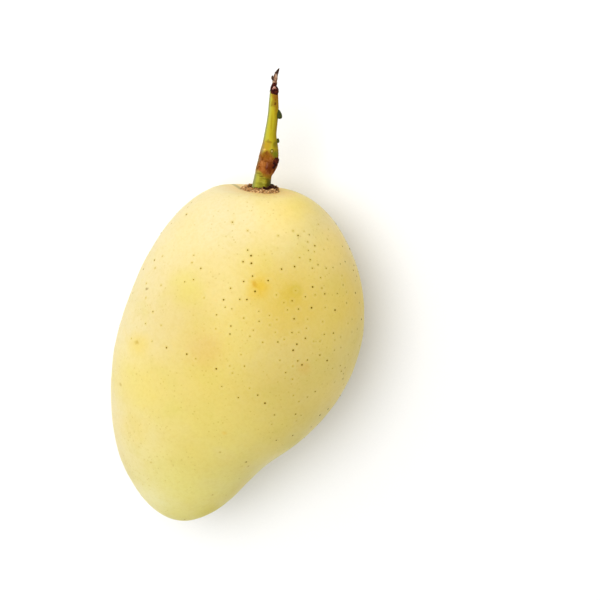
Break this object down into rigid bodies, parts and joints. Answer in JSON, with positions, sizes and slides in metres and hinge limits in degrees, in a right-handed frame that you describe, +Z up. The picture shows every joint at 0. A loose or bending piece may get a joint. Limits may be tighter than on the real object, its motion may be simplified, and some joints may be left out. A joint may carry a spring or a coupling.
{
  "type": "mango",
  "caption": "Ripe yellow mango lying on one cheek, a lopsided egg with a blunt curved tip, a corky collar at its top end and a short bent stalk with a withered end",
  "frame": {"origin": "the middle of the small flat on the lower cheek, on which the fruit rests", "axes": "+Y runs along the fruit from its tip to its stalk, +X points to its fuller flank, +Z is up through the middle of the top cheek"},
  "size_m": [0.0775, 0.1512, 0.0657],
  "materials": {
    "skin": "smooth satin peel, pale yellow, greener towards the tip, with fine brown dots",
    "cork": "matt, crusty and cracked brown cork",
    "stalk": "satin yellow-green bark with a rough orange-brown scar and a dry brown end"
  },
  "bodies": {
    "root": {"fruit": "skin", "stem_collar": "cork", "stem": "stalk"}
  },
  "joints": []
}
